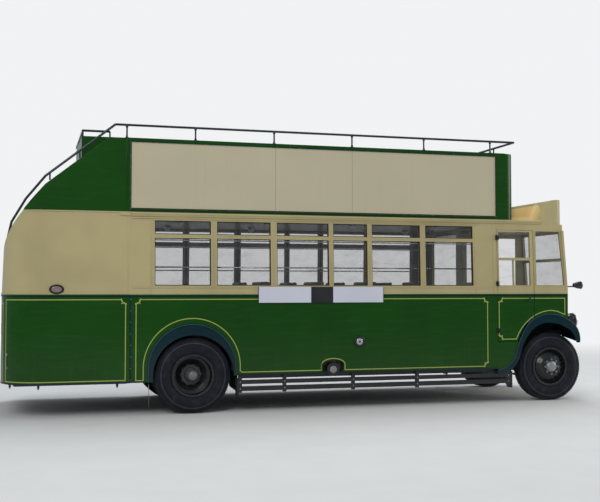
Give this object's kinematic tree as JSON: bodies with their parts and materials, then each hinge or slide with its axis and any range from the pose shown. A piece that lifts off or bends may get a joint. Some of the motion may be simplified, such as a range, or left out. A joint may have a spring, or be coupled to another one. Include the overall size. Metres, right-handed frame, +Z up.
{
  "type": "open-top half-cab double-deck bus",
  "caption": "Vintage open-top double-deck bus with half cab, open rear platform and curved outside stair, steering front wheels, twin rear wheels, cab door and bonnet lid.",
  "frame": {"origin": "on the ground, under the middle of the overall length and width", "axes": "+X forward, +Y to the nearside (left), +Z up"},
  "size_m": [7.862, 2.314, 3.587],
  "materials": {
    "green_paint": "gloss coach paint",
    "cream_paint": "gloss coach paint",
    "dark_paint": "gloss dark blue-green paint",
    "chassis_paint": "satin chassis paint",
    "wheel_paint": "satin grey paint",
    "engine_metal": "painted cast iron",
    "radiator_metal": "polished shell",
    "chrome": "bright",
    "tyre": "matt",
    "glass": "clear",
    "floor_wood": "worn boards",
    "brown_wood": "varnished",
    "seat_fabric": "patterned cloth",
    "seat_wood": "varnished slats",
    "leather": "worn",
    "black_plastic": "gloss",
    "board_paint": "flat signwriter's cream, blank",
    "sign_paint": "white and black, blank",
    "lamp_metal": "black enamel with bright rims"
  },
  "bodies": {
    "body": {"advert_boards": "board_paint", "arch_lips": "dark_paint", "bonnet_fixed": "green_paint", "bulkheads": "cream_paint", "cab_floor": "floor_wood", "cab_front": "green_paint", "cab_glass": "glass", "cab_roof": "cream_paint", "cab_side_walls": "green_paint", "ceiling": "brown_wood", "chassis_frame": "chassis_paint", "cornices": "cream_paint", "driver_seat": "leather", "engine": "engine_metal", "filler_caps": "chrome", "front_axle": "chassis_paint", "front_hood": "cream_paint", "fuel_tank": "chassis_paint", "gearbox_and_shaft": "engine_metal", "hand_rails": "dark_paint", "lamps": "lamp_metal", "leaf_springs": "chassis_paint", "lifeguards": "chassis_paint", "lower_seats": "seat_fabric", "radiator": "radiator_metal", "rear_axle": "chassis_paint", "rear_panel_lower": "green_paint", "rear_panel_upper": "cream_paint", "rear_platform": "floor_wood", "route_boards": "sign_paint", "saloon_floor": "floor_wood", "saloon_glass": "glass", "side_panel_left": "green_paint", "side_panel_right": "green_paint", "stair_panel": "green_paint", "staircase": "floor_wood", "steering_wheel": "black_plastic", "upper_floor": "floor_wood", "upper_front": "green_paint", "upper_rear": "green_paint", "upper_seats": "seat_wood", "upper_sides": "green_paint", "wheel_boxes": "chassis_paint", "window_wall_left": "cream_paint", "window_wall_right": "cream_paint", "wings": "dark_paint"},
    "steer_left": {"knuckle_left": "chassis_paint"},
    "steer_right": {"knuckle_right": "chassis_paint"},
    "track_rod": {"track_rod": "chassis_paint"},
    "front_wheel_left": {"front_wheel_left": "wheel_paint", "front_tyre_left": "tyre"},
    "front_wheel_right": {"front_wheel_right": "wheel_paint", "front_tyre_right": "tyre"},
    "rear_wheels_left": {"rear_wheels_left": "wheel_paint", "rear_tyres_left": "tyre"},
    "rear_wheels_right": {"rear_wheels_right": "wheel_paint", "rear_tyres_right": "tyre"},
    "cab_door": {"cab_door": "green_paint", "door_glass": "glass"},
    "bonnet_lid": {"bonnet_lid": "green_paint"}
  },
  "joints": [
    {"name": "steer_right", "type": "hinge", "parent": "body", "child": "steer_right", "pos_m": [3.406, -0.78, 0.4675], "axis": [0, 0, 1], "range_deg": [-30, 30]},
    {"name": "steer_left", "type": "hinge", "parent": "body", "child": "steer_left", "pos_m": [3.406, 0.78, 0.4675], "axis": [0, 0, 1], "range_deg": [-30, 30]},
    {"name": "track_rod_pivot", "type": "hinge", "parent": "steer_right", "child": "track_rod", "pos_m": [3.216, -0.78, 0.31], "axis": [0, 0, 1], "range_deg": [-30, 30]},
    {"name": "front_left_spin", "type": "hinge", "parent": "steer_left", "child": "front_wheel_left", "pos_m": [3.406, 0.9325, 0.4675], "axis": [0, 1, 0], "continuous": true},
    {"name": "front_right_spin", "type": "hinge", "parent": "steer_right", "child": "front_wheel_right", "pos_m": [3.406, -0.9325, 0.4675], "axis": [0, 1, 0], "continuous": true},
    {"name": "rear_left_spin", "type": "hinge", "parent": "body", "child": "rear_wheels_left", "pos_m": [-1.623, 0.9925, 0.4675], "axis": [0, 1, 0], "continuous": true},
    {"name": "rear_right_spin", "type": "hinge", "parent": "body", "child": "rear_wheels_right", "pos_m": [-1.623, -0.9925, 0.4675], "axis": [0, 1, 0], "continuous": true},
    {"name": "cab_door_hinge", "type": "hinge", "parent": "body", "child": "cab_door", "pos_m": [2.553, -1.142, 1.6], "axis": [0, 0, 1], "range_deg": [-85, 0]},
    {"name": "bonnet_lid_hinge", "type": "hinge", "parent": "body", "child": "bonnet_lid", "pos_m": [3.046, 0.0493, 1.394], "axis": [1, 0, 0], "range_deg": [0, 75]}
  ],
  "couplings": [
    {"joint": "steer_left", "follows": "steer_right", "ratio": 1},
    {"joint": "track_rod_pivot", "follows": "steer_right", "ratio": -1}
  ]
}
